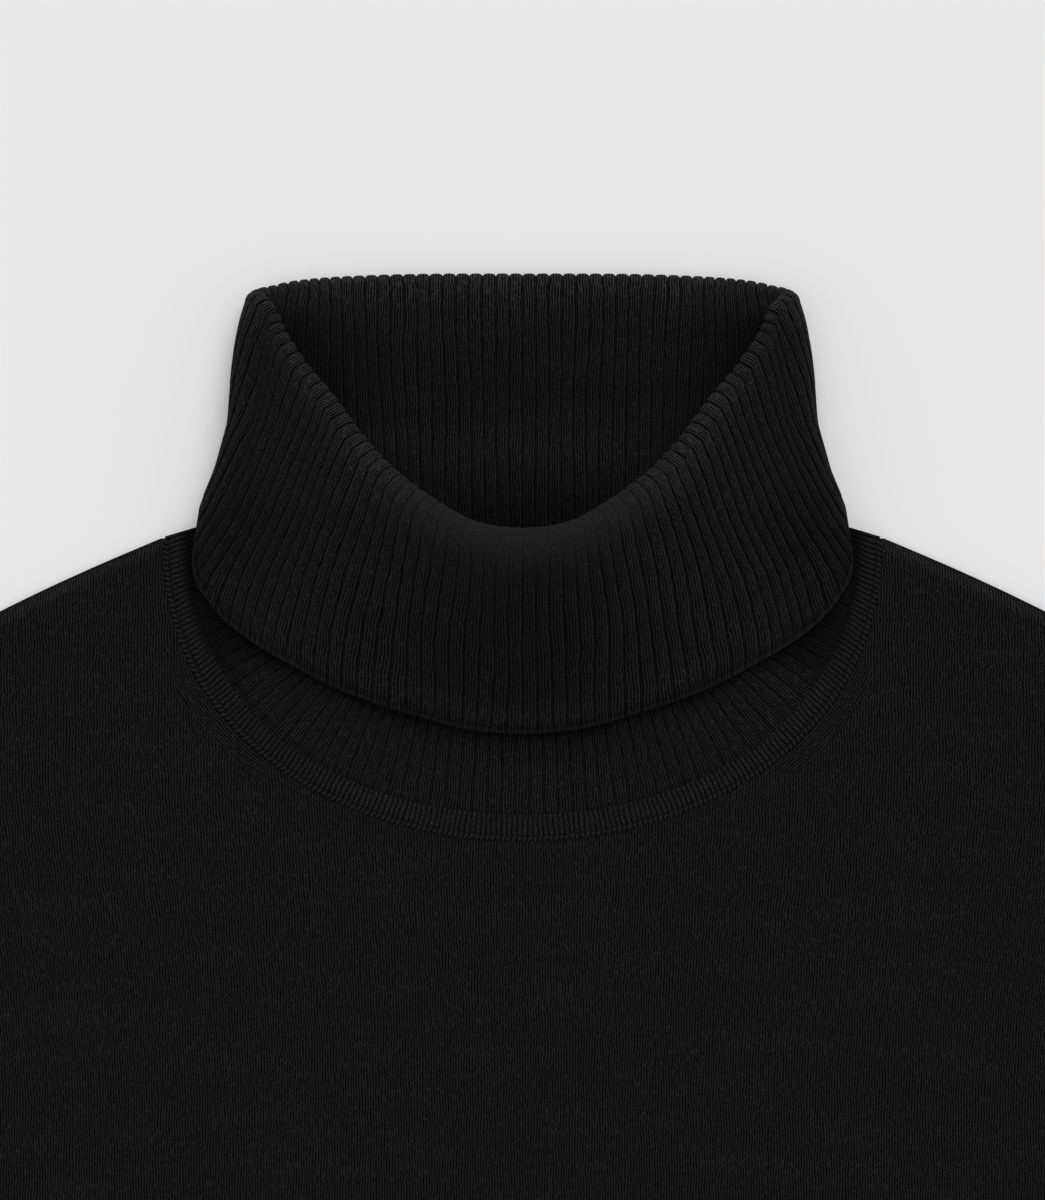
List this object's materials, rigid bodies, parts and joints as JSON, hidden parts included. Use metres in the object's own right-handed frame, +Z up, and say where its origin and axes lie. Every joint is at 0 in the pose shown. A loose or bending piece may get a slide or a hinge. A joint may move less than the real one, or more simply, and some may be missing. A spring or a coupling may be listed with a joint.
{
  "type": "turtleneck sweater",
  "caption": "Black fine-knit sweater laid flat with its front up: ribbed roll collar folded over once, long sleeves, ribbed cuffs and ribbed lower edge.",
  "frame": {"origin": "on the surface the sweater lies on, under the middle of its outline", "axes": "+X across the chest towards the wearer's left sleeve, +Y from the lower edge towards the collar, +Z up out of the front"},
  "size_m": [1.1052, 0.7474, 0.0284],
  "materials": {
    "jersey": "matt fine jersey knit in black wool",
    "rib": "matt ribbed knit in black wool",
    "band": "matt linked band of black wool with chain stitches"
  },
  "bodies": {
    "root": {"front": "jersey", "back": "jersey", "sleeve_left": "jersey", "sleeve_right": "jersey", "collar": "rib", "neck_band_front": "band", "neck_band_back": "band", "hem_front": "rib", "hem_back": "rib", "cuff_left": "rib", "cuff_right": "rib"}
  },
  "joints": []
}
